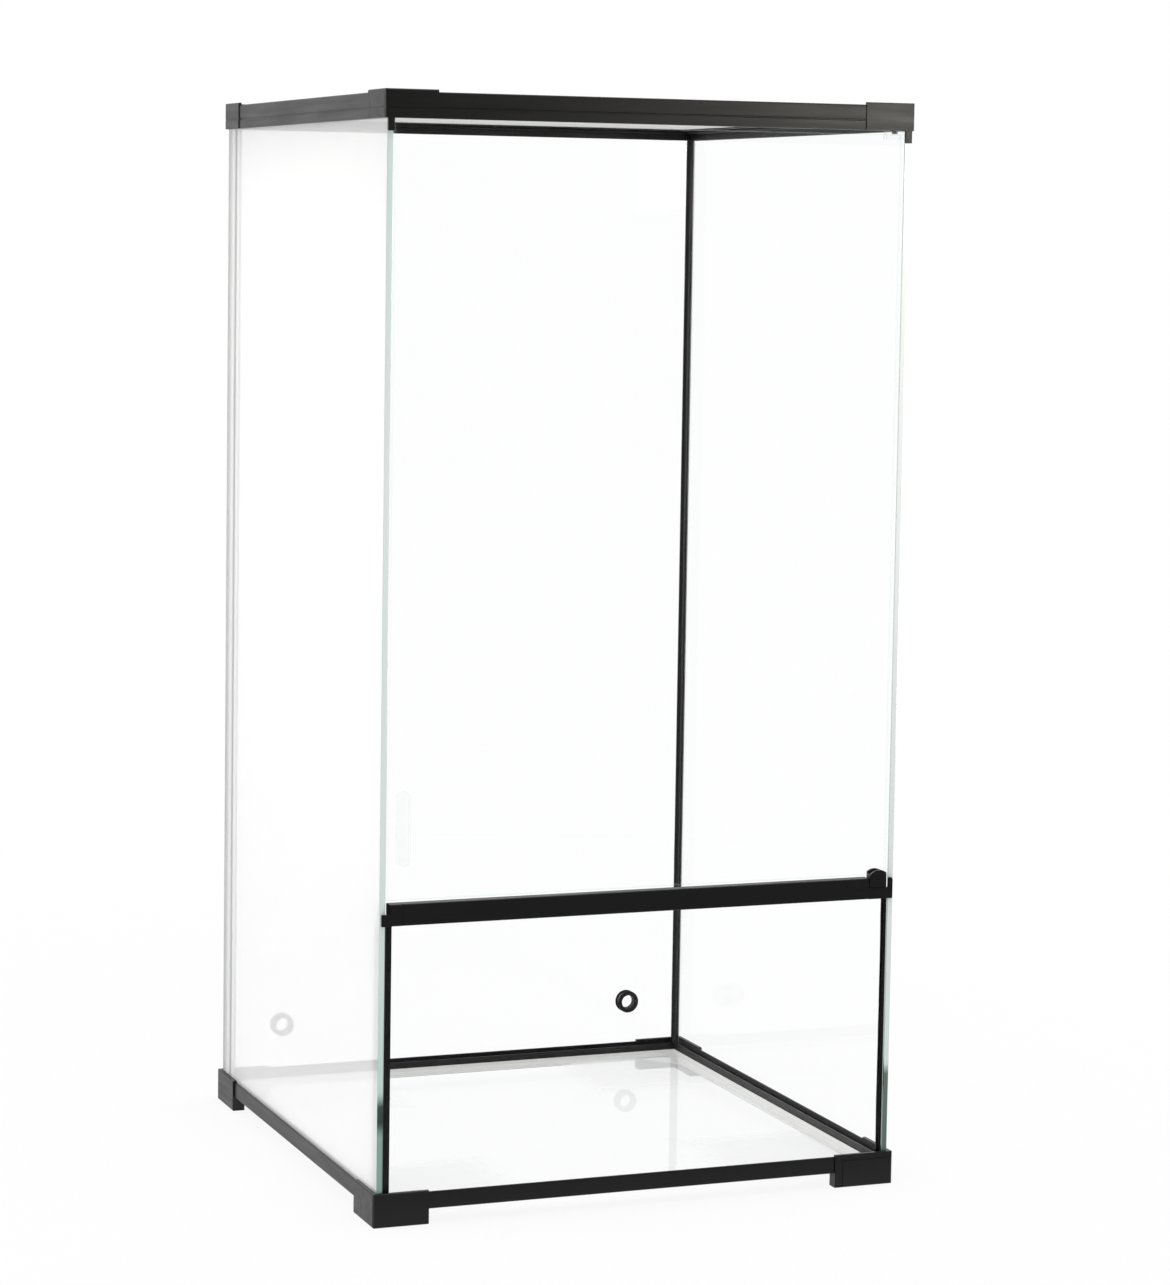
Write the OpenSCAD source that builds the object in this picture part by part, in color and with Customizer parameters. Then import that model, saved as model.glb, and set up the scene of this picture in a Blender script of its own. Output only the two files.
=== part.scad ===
// Tall front-opening glass terrarium: five glass panes in black channel rails with moulded corners,
// a fixed lower front pane with a sill, one hinged glass door above it and a lift-out mesh lid.
// Origin at the centre of the footprint on the floor, front towards -Y, right towards +X, up +Z.

/* [Tank] */
// Width over the side panes
tank_w = 450; // [400:1:600]
// Depth over the front and back panes
tank_d = 450; // [400:1:600]
// Height from the floor to the top of the upper corners
tank_h = 900; // [600:1:1200]

/* [Glass] */
// Thickness of the wall and door panes
glass_t = 5; // [4:0.5:6]
// Thickness of the floor pane
floor_t = 4; // [3:0.5:6]
// Play on each side of a pane in its channel
pane_fit = 0.2; // [0.1:0.05:0.3]

/* [Base] */
// Wall thickness of the channel rails
wall = 2; // [1.5:0.1:2.5]
// Height of the base rails' underside above the floor
rail_lift = 12; // [9:0.5:20]
// Height of the base rails
base_rail_h = 14; // [12:0.5:24]
// How far the inner wall of the base rails stays below the outer one
inner_drop = 2.5; // [0:0.5:4]
// Reach of the ledge under the floor pane
floor_ledge = 10; // [6:1:20]
// Length of a foot along the sides
foot_leg = 47; // [36:1:80]
// Length of a foot along the front and back
foot_front = 43; // [36:1:80]
// Extra length of the front right foot along the front
plate_extra = 6; // [0:1:12]
// How far a foot stands out past the glass
foot_proud = 4; // [3.4:0.1:6]
// How far a foot's top stands above the base rails
foot_rise = 1.5; // [1:0.5:8]
// Wall thickness of the hollow under a foot
foot_wall = 2.2; // [1.6:0.1:3]
// Height that the blank plate on the front right foot stands out
plate_proud = 0.6; // [0.3:0.1:1]
// Width of the blank plate
plate_w = 46; // [30:1:50]
// Height of the blank plate
plate_h = 22.5; // [14:0.5:24]

/* [Top] */
// Height of the top rails
top_rail_h = 20.5; // [17:0.5:30]
// Depth of the pane slot in the top rails
top_slot = 6; // [4:0.5:8]
// Reach of the ledge under the lid
lid_ledge = 8; // [6:1:12]
// Length of an upper corner along each side
cap_leg = 41; // [36:1:80]
// How far an upper corner stands out past the glass
cap_proud = 3; // [2.6:0.1:5]
// How far an upper corner stands above the top rails
cap_rise = 2; // [1:0.5:6]
// Height of the line moulded along the rails and corners above their lower edge
line_up = 7.5; // [4:0.5:12]
// Height of that line
line_h = 1.2; // [0.6:0.1:2]
// Depth of that line
line_deep = 0.6; // [0.3:0.1:1]
// Length of the lip over the front edge of a side pane
lip_h = 10; // [5:0.5:20]
// Bevel along the outer edges of rails and corners
edge = 0.8; // [0.4:0.1:1.2]
// Radius of the upright outer edges of the corners
corner_r = 3; // [1:0.5:5]

/* [Sill] */
// Height of the sill's top above the floor
sill_top = 260; // [200:1:330]
// Height of the sill rail
sill_h = 17.5; // [16:0.5:26]
// Wall thickness of the sill rail
sill_wall = 2.6; // [2:0.1:3.5]
// Depth of the pane slot in the sill rail
sill_slot = 7.4; // [5:0.2:9]
// Length of the sill's left end piece
end_len = 11; // [8:0.5:20]
// Distance between the left end piece and the side pane
end_gap = 3; // [1:0.5:5]
// Reach of the end pieces over the front edge of a side pane
end_reach = 3.5; // [1.5:0.5:4]

/* [Door] */
// Gap between the door and the side panes
door_gap = 1.5; // [1:0.1:3]
// Gap between the door pane and the sill
door_lift = 2.4; // [1.5:0.1:4]
// Distance of the hinge axis from the side pane
pivot_in = 8; // [7.5:0.1:10]
// Radius of the hinge pins
pin_r = 2.5; // [1.5:0.1:3]
// Radial play of the hinge pins
pin_play = 0.05; // [0.02:0.01:0.08]
// Length of the lower hinge pin
pin_len = 8.2; // [6:0.1:9]
// Length of the upper hinge pin
top_pin_len = 2.6; // [2:0.1:4]
// Gap between a hinge shoe and what it turns on
turn_gap = 0.3; // [0.2:0.05:0.5]
// Thickness of a hinge shoe's cheeks
cheek = 3; // [2:0.1:4]
// Reach of a hinge shoe along the door, past its axis
shoe_reach = 9.5; // [8:0.5:16]
// Depth of glass held in a hinge shoe
grip = 4.2; // [3:0.1:8]
// Width of the clear pull bonded to the door
pull_w = 12; // [10:1:20]
// Height of the pull
pull_h = 60; // [40:5:120]
// Thickness of the pull
pull_t = 3.5; // [3:0.1:4]
// Radius of the finger scoop along the pull
scoop_r = 1.5; // [1:0.1:1.6]
// Distance of the pull's middle from the door's free edge
pull_in = 12; // [10:1:60]
// Height of the pull's middle above the sill
pull_up = 60; // [40:5:300]

/* [Lid] */
// Gap between the lid and the rim round it
lid_gap = 0.8; // [0.5:0.1:2]
// Gap between the lid and its ledge
lid_seat = 0.2; // [0.1:0.05:0.4]
// Width of the lid frame's upstand
lid_side = 11; // [9:0.5:16]
// Height of the lid frame
lid_h = 9.8; // [7:0.2:14]
// Reach of the flange that carries the mesh
lid_flange = 11; // [8:0.5:20]
// Thickness of that flange
flange_t = 1.2; // [1:0.1:2]
// Thickness of the mesh sheet
mesh_t = 0.6; // [0.4:0.1:1]
// Gaps of the mesh along each side
mesh_n = 16; // [6:1:17]
// Width of the strands between the gaps
strand = 2; // [1:0.1:4]
// Width of the strip that holds the mesh down
strip_w = 4; // [3:0.5:6]
// Height of that strip
strip_h = 3; // [2:0.5:5]

/* [Seals and ports] */
// Radius of the seals' hollow, as a share of their leg
seal_dip = 0.75; // [0.5:0.05:0.9]
// Leg of the black seals in the back corners
back_seal = 5; // [4:0.5:10]
// Leg of the black seal beside the lower front pane, on the left
front_seal_left = 7; // [3:0.5:7]
// Leg of the black seal beside the lower front pane, on the right
front_seal_right = 3; // [3:0.5:7]
// Distance of the cable ports from the outer faces of the side panes
port_in = 55; // [50:1:140]
// Height of the cable ports above the floor
port_z = 66; // [50:1:150]
// Bore of the port grommets
port_bore = 12.5; // [8:0.5:20]
// Wall of the grommet inside the pane
port_wall = 2; // [1.5:0.5:4]
// Width of the grommet's flange
port_flange = 2; // [2:0.5:5]
// Thickness of the grommet's flange
port_lip = 1.5; // [1:0.5:3]

/* [Hidden] */
$fn = 48;

// Colours, as the photograph shows them
black = [0.10, 0.10, 0.10];
clear = [0.80, 0.93, 0.90, 0.35];
bare = [0.90, 0.93, 0.94, 0.45];
seal = [0.06, 0.06, 0.06];
steel = [0.55, 0.55, 0.54];

// Distances across a rail are counted outwards from the outer face of the glass
slot_in = -(glass_t + pane_fit);
rail_in = slot_in - wall;
rail_out = pane_fit + wall;
half_w = tank_w / 2;
half_d = tank_d / 2;

// Heights
web_top = rail_lift + wall;
base_top = rail_lift + base_rail_h;
inner_top = base_top - inner_drop;
foot_top = base_top + foot_rise;
top_rail_top = tank_h - cap_rise;
top_rail_bottom = top_rail_top - top_rail_h;
ledge_bottom = top_rail_bottom + top_slot;
ledge_top = ledge_bottom + wall;
pane_bottom = web_top + pane_fit;
pane_top = ledge_bottom - pane_fit;
sill_bottom = sill_top - sill_h;
slot_top = sill_bottom + sill_slot;
block_top = slot_top + wall;
door_bottom = sill_top + door_lift;
shoe_top = top_rail_bottom - turn_gap;
door_top = shoe_top - top_pin_len - turn_gap;
lid_bottom = ledge_top + lid_seat;
mesh_bottom = lid_bottom + flange_t;
mesh_top = mesh_bottom + mesh_t;

// Inner faces of the side panes, the door's edges and its axis, and the ports
inner_x = half_w - glass_t;
door_half = inner_x - door_gap;
axis_x = inner_x - pivot_in;
axis_y = -(half_d - glass_t / 2);
turn_r = pivot_in - turn_gap * 2;
shoe_half = glass_t / 2 + cheek;
port_x = half_w - port_in;

// The sill rail's front and back faces, its ends and the lid's outer face
sill_out = pane_fit + sill_wall;
sill_in = slot_in - sill_wall;
sill_left = -(inner_x - end_gap - end_len);
sill_right = axis_x - shoe_reach - turn_gap * 2;
lid_out = pane_fit - lid_gap;
lid_step = lid_out - lid_side;
lid_inner = lid_step - lid_flange;

// Lengths of the rails between the feet and between the upper corners
rail_w = tank_w - 2 * foot_front;
rail_d = tank_d - 2 * foot_leg;
top_w = tank_w - 2 * cap_leg;
top_d = tank_d - 2 * cap_leg;

// A profile drawn as (distance outwards, height), run along X on the front side of the tank
module front_run(half, x0, x1) {
    translate([x0, 0, 0]) rotate([90, 0, 90])
        linear_extrude(x1 - x0) translate([-half, 0]) mirror([1, 0]) children();
}

// The same run centred, for the side whose number of quarter turns from the front is given
module side_run(quarter, half, length) {
    rotate([0, 0, 90 * quarter]) front_run(half, -length / 2, length / 2) children();
}

module slab(z0, z1) {
    translate([0, 0, z0]) linear_extrude(z1 - z0) children();
}

// Plan of a corner, an L whose outer glass corner is at the origin, for the front right corner
module ell(out, inner, leg_x, leg_y) {
    polygon([[-leg_x, -out], [out, -out], [out, leg_y], [inner, leg_y], [inner, -inner], [-leg_x, -inner]]);
}

// What rounds off the upright outer edge of such a corner
module corner_cut(out, r) {
    difference() {
        translate([out - r, -out - 1]) square(r + 1);
        translate([out - r, r - out]) circle(r);
    }
}

// Moves a front right corner to the corner named by the signs of its X and Y
module at_corner(sx, sy) {
    mirror([sx < 0 ? 1 : 0, 0, 0]) mirror([0, sy > 0 ? 1 : 0, 0])
        translate([half_w, -half_d, 0]) children();
}

module base_profile() {
    polygon([
        [rail_out, rail_lift + edge], [rail_out, base_top - edge], [rail_out - edge, base_top],
        [pane_fit, base_top], [pane_fit, web_top], [slot_in, web_top], [slot_in, inner_top],
        [rail_in, inner_top], [rail_in, web_top], [rail_in - floor_ledge, web_top],
        [rail_in - floor_ledge, rail_lift], [rail_out - edge, rail_lift]
    ]);
}

module base_rail(quarter, half, length) {
    color(black) side_run(quarter, half, length) base_profile();
}

// Channel of the top rails: pane slot below, ledge for the lid inside, rim round the lid outside
module top_profile(holds_pane) {
    line_z = top_rail_bottom + line_up;
    difference() {
        polygon([
            [rail_out, top_rail_bottom], [rail_out, top_rail_top - edge], [rail_out - edge, top_rail_top],
            [pane_fit, top_rail_top], [pane_fit, ledge_top], [rail_in - lid_ledge, ledge_top],
            [rail_in - lid_ledge, ledge_bottom], [rail_in, ledge_bottom], [rail_in, top_rail_bottom]
        ]);
        translate([rail_out - line_deep, line_z]) square([line_deep + 1, line_h]);
        translate([slot_in, top_rail_bottom + (holds_pane ? -1 : wall)])
            square([pane_fit - slot_in, top_slot + (holds_pane ? 1 : -wall)]);
    }
}

module top_rail(quarter, half, length, holds_pane) {
    color(black) side_run(quarter, half, length) top_profile(holds_pane);
}

// Moulded foot: an L of channel over a hollow, ribbed leg, with a gusset under the floor pane
module foot(leg_x, leg_y) {
    hollow_in = rail_in + foot_wall;
    hollow_out = foot_proud - foot_wall;
    rib_z = rail_lift / 4;
    difference() {
        union() {
            slab(0, foot_top) ell(foot_proud, pane_fit, leg_x, leg_y);
            slab(0, inner_top) ell(foot_proud, rail_in, leg_x, leg_y);
            slab(rail_lift, web_top)
                polygon([[rail_in, -rail_in], [-leg_x, -rail_in], [-leg_x, floor_ledge - rail_in],
                         [rail_in - floor_ledge, leg_y], [rail_in, leg_y]]);
        }
        slab(web_top, foot_top + 1) ell(pane_fit, slot_in, leg_x + 1, leg_y + 1);
        slab(-1, rail_lift) ell(hollow_out, hollow_in, leg_x - foot_wall, leg_y - foot_wall);
        slab(-1, foot_top + 1) corner_cut(foot_proud, corner_r);
        foot_bevels(leg_x, leg_y);
    }
    for (k = [1, 2]) {
        translate([-leg_x * k / 3, -hollow_out, rib_z])
            cube([foot_wall, hollow_out - hollow_in, rail_lift - rib_z]);
        translate([hollow_in, leg_y * k / 3, rib_z])
            cube([hollow_out - hollow_in, foot_wall, rail_lift - rib_z]);
    }
}

// Bevels along the top and bottom outer edges of a foot
module foot_bevels(leg_x, leg_y) {
    for (z = [0, foot_top]) {
        translate([0, -foot_proud, z]) rotate([45, 0, 0])
            cube([2 * leg_x + 2 * foot_proud + 2, edge * sqrt(2), edge * sqrt(2)], center = true);
        translate([foot_proud, 0, z]) rotate([0, 45, 0])
            cube([edge * sqrt(2), 2 * leg_y + 2 * foot_proud + 2, edge * sqrt(2)], center = true);
    }
}

// The front right foot is longer; its face is set back round a blank plate
module plate_foot() {
    leg = foot_front + plate_extra;
    difference() {
        foot(leg, foot_leg);
        difference() {
            translate([-leg - 1, -foot_proud - 1, -1])
                cube([leg + foot_proud + 2, plate_proud + 1, foot_top + 2]);
            translate([foot_proud - plate_w, -foot_proud - 2, -2])
                cube([plate_w + 2, plate_proud + 3, plate_h + 2]);
        }
    }
}

// Moulded upper corner: the top rail's section on both legs, over the rails' height and standing proud
module top_corner(front) {
    line_z = top_rail_bottom + line_up;
    slot_leg = cap_leg + 1;
    difference() {
        union() {
            slab(top_rail_bottom, tank_h) ell(cap_proud, pane_fit, cap_leg, cap_leg);
            slab(top_rail_bottom, ledge_top) ell(cap_proud, rail_in, cap_leg, cap_leg);
            slab(ledge_bottom, ledge_top) ell(cap_proud, rail_in - lid_ledge, cap_leg, cap_leg);
            if (front)
                slab(top_rail_bottom - lip_h, ledge_bottom)
                    translate([-glass_t, -cap_proud]) square([glass_t + pane_fit, cap_proud - pane_fit]);
        }
        slab(top_rail_bottom - 1, ledge_bottom)
            intersection() {
                ell(pane_fit, slot_in, slot_leg, slot_leg);
                if (front) translate([slot_in, -pane_fit]) square([slot_leg, slot_leg + pane_fit]);
                else square(3 * slot_leg, center = true);
            }
        slab(line_z, line_z + line_h)
            difference() {
                ell(cap_proud + 1, cap_proud - line_deep, cap_leg + 1, cap_leg + 1);
                translate([cap_proud - corner_r, corner_r - cap_proud]) circle(corner_r - line_deep);
            }
        slab(top_rail_bottom - 1, tank_h + 1) corner_cut(cap_proud, corner_r);
        translate([0, -cap_proud, tank_h]) rotate([45, 0, 0])
            cube([3 * cap_leg, edge * sqrt(2), edge * sqrt(2)], center = true);
        translate([cap_proud, 0, tank_h]) rotate([0, 45, 0])
            cube([edge * sqrt(2), 3 * cap_leg, edge * sqrt(2)], center = true);
    }
}

// The front right upper corner also holds the door's upper pin
module hinge_corner() {
    top_corner(true);
    translate([axis_x - half_w, axis_y + half_d, top_rail_bottom - top_pin_len])
        cylinder(h = top_pin_len + wall / 2, r = pin_r);
}

module pane(x0, x1, y0, y1, z0, z1) {
    color(clear) translate([x0, y0, z0]) cube([x1 - x0, y1 - y0, z1 - z0]);
}

module side_glass(sign) {
    x0 = sign > 0 ? inner_x : -half_w;
    pane(x0, x0 + glass_t, -half_d, half_d, pane_bottom, pane_top);
}

module floor_glass() {
    x = half_w + rail_in - pane_fit;
    y = half_d + rail_in - pane_fit;
    pane(-x, x, -y, y, web_top, web_top + floor_t);
}

// The back pane has one round hole for each grommet
module back_glass() {
    hole_r = port_bore / 2 + port_wall + pane_fit / 2;
    x = inner_x - pane_fit;
    color(clear) difference() {
        translate([-x, half_d - glass_t, pane_bottom]) cube([2 * x, glass_t, pane_top - pane_bottom]);
        for (side = [-1, 1])
            translate([side * port_x, half_d - glass_t - 1, port_z]) rotate([-90, 0, 0])
                cylinder(h = glass_t + 2, r = hole_r);
    }
}

module front_lower_glass() {
    x = inner_x - pane_fit;
    pane(-x, x, -half_d, glass_t - half_d, pane_bottom, slot_top - pane_fit);
}

// Bead of black silicone in an inner corner of the glass, standing on the foot's inner wall
module corner_seal(sx, sy, leg, top) {
    color(seal) at_corner(sx, sy) slab(inner_top, top)
        difference() {
            translate([-glass_t - leg, glass_t]) square(leg);
            translate([-glass_t - leg, glass_t + leg]) circle(leg * seal_dip);
        }
}

// Rubber grommet with a flange on each face of the back pane
module port_grommet(side) {
    r = port_bore / 2;
    body_r = r + port_wall;
    rim = body_r + port_flange;
    length = glass_t + 2 * port_lip;
    color(seal) translate([side * port_x, half_d + port_lip, port_z]) rotate([90, 0, 0])
        rotate_extrude()
            polygon([
                [r, 0], [rim - edge, 0], [rim, edge], [rim, port_lip], [body_r, port_lip],
                [body_r, length - port_lip], [rim, length - port_lip], [rim, length - edge],
                [rim - edge, length], [r, length]
            ]);
}

// Sill channel: pane slot below, closed box above
module sill_profile(hollow) {
    difference() {
        polygon([
            [sill_out, sill_bottom + edge], [sill_out, sill_top - edge], [sill_out - edge, sill_top],
            [sill_in + edge, sill_top], [sill_in, sill_top - edge], [sill_in, sill_bottom],
            [sill_out - edge, sill_bottom]
        ]);
        translate([slot_in, sill_bottom - 1]) square([pane_fit - slot_in, sill_slot + 1]);
        if (hollow)
            translate([slot_in, block_top])
                square([pane_fit - slot_in, sill_top - wall - block_top]);
    }
}

module sill_rail() {
    color(black) front_run(half_d, sill_left, sill_right) sill_profile(true);
}

// Left end of the sill, with a tongue over the front edge of the side pane
module sill_end_left() {
    end_x = -(inner_x - end_gap);
    color(black) {
        front_run(half_d, sill_left - end_len, sill_left) sill_profile(false);
        translate([-(inner_x + end_reach), -half_d - sill_out, sill_bottom])
            cube([end_reach + inner_x + end_x + wall, sill_wall, block_top - sill_bottom]);
    }
}

// Right end of the sill: the block that carries the door's lower pin, the door's stop behind the shoe,
// and a round-topped cheek over the front edge of the side pane
module sill_hinge_block() {
    block_end = inner_x - pane_fit;
    cheek_end = inner_x + end_reach;
    cheek_r = (cheek_end - block_end) / 2;
    block_back = -half_d - sill_in;
    stop_front = axis_y + shoe_half + turn_gap;
    stop_back = stop_front + wall;
    stop_len = shoe_reach - turn_r * 0.8;
    color(black) {
        difference() {
            translate([sill_right, -half_d - sill_out, sill_bottom])
                cube([block_end - sill_right, sill_out - sill_in, block_top - sill_bottom]);
            translate([sill_right - 1, -half_d - pane_fit, sill_bottom - 1])
                cube([block_end - sill_right + 2, pane_fit - slot_in, sill_slot + 1]);
        }
        translate([0, -half_d - pane_fit, 0]) rotate([90, 0, 0]) slab(0, sill_wall) {
            translate([block_end, sill_bottom])
                square([cheek_end - block_end, sill_top - cheek_r - sill_bottom]);
            translate([block_end + cheek_r, sill_top - cheek_r]) circle(cheek_r);
        }
        translate([axis_x, axis_y, block_top - wall / 2]) cylinder(h = pin_len + wall / 2, r = pin_r);
        translate([axis_x - shoe_reach, stop_front, block_top - wall])
            cube([stop_len, wall, wall + pin_len * 0.7]);
        translate([axis_x - shoe_reach, block_back - wall / 2, block_top - wall])
            cube([stop_len, stop_back - block_back + wall / 2, wall]);
    }
}

// Plan of a hinge shoe about the door's axis: round behind the axis, two cheeks along the pane.
// The back cheek is shorter, so that it stays in the circle that the front cheek's end sweeps.
module shoe_plan() {
    back_reach = sqrt(shoe_reach * shoe_reach - shoe_half * shoe_half);
    intersection() {
        circle(turn_r);
        square(2 * [turn_r, shoe_half], center = true);
    }
    translate([-shoe_reach, -shoe_half]) square([shoe_reach, shoe_half]);
    translate([-back_reach, 0]) square([back_reach, shoe_half]);
}

// Lower hinge shoe, domed at the top as the photograph shows, with a blind bore for the pin
module door_shoe_lower() {
    z0 = block_top + turn_gap;
    z1 = door_bottom + grip;
    left = -shoe_reach;
    span = shoe_reach + turn_r;
    dome = (span * span / 4 + grip * grip) / (2 * grip);
    color(black) translate([axis_x, axis_y, 0]) difference() {
        intersection() {
            slab(z0, z1) shoe_plan();
            rotate([90, 0, 0]) translate([0, 0, -2 * turn_r]) linear_extrude(4 * turn_r) {
                translate([left, z0]) square([span, z1 - grip - z0]);
                intersection() {
                    translate([left, z1 - grip - 1]) square([span, grip + 1]);
                    translate([left + span / 2, z1 - dome]) circle(dome, $fn = 128);
                }
            }
        }
        translate([0, 0, z0 - 1]) cylinder(h = pin_len + 1, r = pin_r + pin_play);
        translate([-shoe_reach - 1, -glass_t / 2, door_bottom])
            cube([shoe_reach + 2 * turn_r, glass_t, grip + 1]);
    }
}

// Upper hinge shoe, clear, with a bore for the short upper pin
module door_shoe_upper() {
    z0 = door_top - grip;
    color(bare) translate([axis_x, axis_y, 0]) difference() {
        slab(z0, shoe_top) shoe_plan();
        translate([0, 0, door_top]) cylinder(h = shoe_top - door_top + 1, r = pin_r + pin_play);
        translate([-shoe_reach - 1, -glass_t / 2, z0 - 1])
            cube([shoe_reach + 2 * turn_r, glass_t, grip + 1]);
    }
}

module door_glass() {
    pane(-door_half, door_half, -half_d, glass_t - half_d, door_bottom, door_top);
}

// Clear pull bonded to the front of the door near its free edge, with a finger scoop along one side
module door_pull() {
    end_r = pull_w / 2;
    straight = pull_h - pull_w;
    color(bare) translate([pull_in - door_half, -half_d, sill_top + pull_up]) difference() {
        rotate([90, 0, 0]) slab(0, pull_t) {
            square([pull_w, straight], center = true);
            for (up = [-1, 1]) translate([0, up * straight / 2]) circle(end_r);
        }
        translate([end_r, -scoop_r / 2, -pull_h / 2]) cylinder(h = pull_h, r = scoop_r);
    }
}

// A square ring in plan between two distances from the outer faces of the glass
module ring(out, inner) {
    difference() {
        square([tank_w + 2 * out, tank_d + 2 * out], center = true);
        square([tank_w + 2 * inner, tank_d + 2 * inner], center = true);
    }
}

module lid_frame() {
    color(black) {
        slab(lid_bottom, lid_bottom + lid_h - edge) ring(lid_out, lid_step);
        slab(lid_bottom + lid_h - edge, lid_bottom + lid_h) ring(lid_out - edge, lid_step + edge);
        slab(lid_bottom, mesh_bottom) ring(lid_step, lid_inner);
    }
}

module lid_retainer() {
    color(seal) slab(mesh_top, mesh_top + strip_h) ring(lid_step - pane_fit, lid_step - pane_fit - strip_w);
}

// Flat net of the lid: equal gaps over the frame's opening, and a border on the flange
module lid_mesh() {
    open_w = tank_w + 2 * lid_inner;
    open_d = tank_d + 2 * lid_inner;
    pitch_x = (open_w + strand) / mesh_n;
    pitch_y = (open_d + strand) / mesh_n;
    color(steel) slab(mesh_bottom, mesh_top) difference() {
        square([tank_w + 2 * (lid_step - pane_fit), tank_d + 2 * (lid_step - pane_fit)], center = true);
        for (i = [0 : mesh_n - 1], j = [0 : mesh_n - 1])
            translate([i * pitch_x - open_w / 2, j * pitch_y - open_d / 2])
                square([pitch_x - strand, pitch_y - strand]);
    }
}

color(black) front_run(half_d, foot_front - half_w, half_w - foot_front - plate_extra) base_profile();  // base_rail_front
base_rail(2, half_d, rail_w);  // base_rail_back
base_rail(3, half_w, rail_d);  // base_rail_left
base_rail(1, half_w, rail_d);  // base_rail_right
color(black) at_corner(-1, -1) foot(foot_front, foot_leg);  // foot_front_left
color(black) at_corner(1, -1) plate_foot();  // foot_front_right
color(black) at_corner(-1, 1) foot(foot_front, foot_leg);  // foot_back_left
color(black) at_corner(1, 1) foot(foot_front, foot_leg);  // foot_back_right
floor_glass();
side_glass(-1);  // side_glass_left
side_glass(1);  // side_glass_right
back_glass();
front_lower_glass();
corner_seal(-1, 1, back_seal, top_rail_bottom);  // seal_back_left
corner_seal(1, 1, back_seal, top_rail_bottom);  // seal_back_right
corner_seal(-1, -1, front_seal_left, sill_bottom);  // seal_front_left
corner_seal(1, -1, front_seal_right, sill_bottom);  // seal_front_right
port_grommet(-1);  // port_grommet_left
port_grommet(1);  // port_grommet_right
sill_rail();
sill_end_left();
sill_hinge_block();
top_rail(0, half_d, top_w, false);  // top_rail_front
top_rail(2, half_d, top_w, true);  // top_rail_back
top_rail(3, half_w, top_d, true);  // top_rail_left
top_rail(1, half_w, top_d, true);  // top_rail_right
color(black) at_corner(-1, -1) top_corner(true);  // top_corner_front_left
color(black) at_corner(1, -1) hinge_corner();  // top_corner_front_right
color(black) at_corner(-1, 1) top_corner(false);  // top_corner_back_left
color(black) at_corner(1, 1) top_corner(false);  // top_corner_back_right
door_glass();
door_shoe_lower();
door_shoe_upper();
door_pull();
lid_frame();
lid_mesh();
lid_retainer();
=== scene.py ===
# %% [markdown]
# # A tall glass terrarium, dressed in Blender
# The CAD model already holds every solid at its real size: panes, channel rails, moulded corners,
# hinge and lid. This notebook gives those solids their looks. Panes get ground edges, mouldings
# get soft edges and a satin skin, silicone gets a hand-tooled surface, and the lid gets a real
# wire screen.
# Everything is in metres, in the frame of the CAD model: X to the right, Y to the back, Z up.

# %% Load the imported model
from math import radians
import bpy
from mathutils import Matrix, Vector


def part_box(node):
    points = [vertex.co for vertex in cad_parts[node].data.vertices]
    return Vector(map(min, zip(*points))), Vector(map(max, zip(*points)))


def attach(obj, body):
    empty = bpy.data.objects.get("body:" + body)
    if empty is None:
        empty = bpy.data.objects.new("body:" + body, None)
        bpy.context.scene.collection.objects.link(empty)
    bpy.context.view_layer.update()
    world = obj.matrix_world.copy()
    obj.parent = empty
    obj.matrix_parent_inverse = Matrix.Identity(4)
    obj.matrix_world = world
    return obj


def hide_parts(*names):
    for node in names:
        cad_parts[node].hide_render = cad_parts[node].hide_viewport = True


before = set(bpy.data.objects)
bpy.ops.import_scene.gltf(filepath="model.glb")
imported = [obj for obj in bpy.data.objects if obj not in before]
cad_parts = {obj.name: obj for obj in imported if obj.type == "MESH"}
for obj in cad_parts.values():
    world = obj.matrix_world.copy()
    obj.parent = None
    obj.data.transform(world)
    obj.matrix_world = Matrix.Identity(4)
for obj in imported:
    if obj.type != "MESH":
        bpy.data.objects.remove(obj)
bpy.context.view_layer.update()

# %% [markdown]
# Sizes on such a product are given in millimetres, and paint colours as sRGB hex values, as a
# colour picker on a photograph shows them. Blender wants metres and linear light, so each gets a
# small function.

# %% Units and colours
def mm(value):
    """Millimetres as metres."""
    return value / 1000


def paint(hex_value):
    """A colour such as "#1e1e1e" in linear light, with full opacity."""
    shades = [int(hex_value[i:i + 2], 16) / 255 for i in (1, 3, 5)]
    return [s / 12.92 if s <= 0.04045 else ((s + 0.055) / 1.055) ** 2.4 for s in shades] + [1.0]


def shaded(hex_value, factor):
    """The same colour with its light multiplied by the factor."""
    return [light * factor for light in paint(hex_value)[:3]] + [1.0]


print("black moulding in linear light:", [round(v, 4) for v in paint("#1e1e1e")])

# %% [markdown]
# The camera stands where the photographer stood: 3 m away, to the left of the front, at the
# height of the animal's perch. Its place, lens and tilt come from the corners of the feet, the
# sill and the top frame in the photograph. The picture was cropped off centre, so the lens is
# shifted by the same small amount.

# %% Camera
CAMERA_PLACE = Vector((-1.112, -2.915, 0.792))
YAW, PITCH, ROLL = radians(21.05), radians(-5.18), radians(0.85)
LENS, SHIFT = 101.7, (0.0195, -0.0642)

bpy.ops.object.select_all(action="DESELECT")
bpy.ops.object.camera_add()
camera = bpy.context.object
camera.name = "photo_camera"
camera.data.lens = LENS
camera.data.shift_x, camera.data.shift_y = SHIFT
camera.matrix_world = (
    Matrix.Translation(CAMERA_PLACE)
    @ Matrix.Rotation(-YAW, 4, "Z")
    @ Matrix.Rotation(radians(90) + PITCH, 4, "X")
    @ Matrix.Rotation(ROLL, 4, "Z")
)
bpy.context.scene.camera = camera
bpy.context.scene.view_settings.view_transform = "Standard"

# %% [markdown]
# Every material here is a small tree of nodes. One function adds a node, sets it up and plugs it
# in, so that a tree reads from top to bottom like a recipe.

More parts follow.
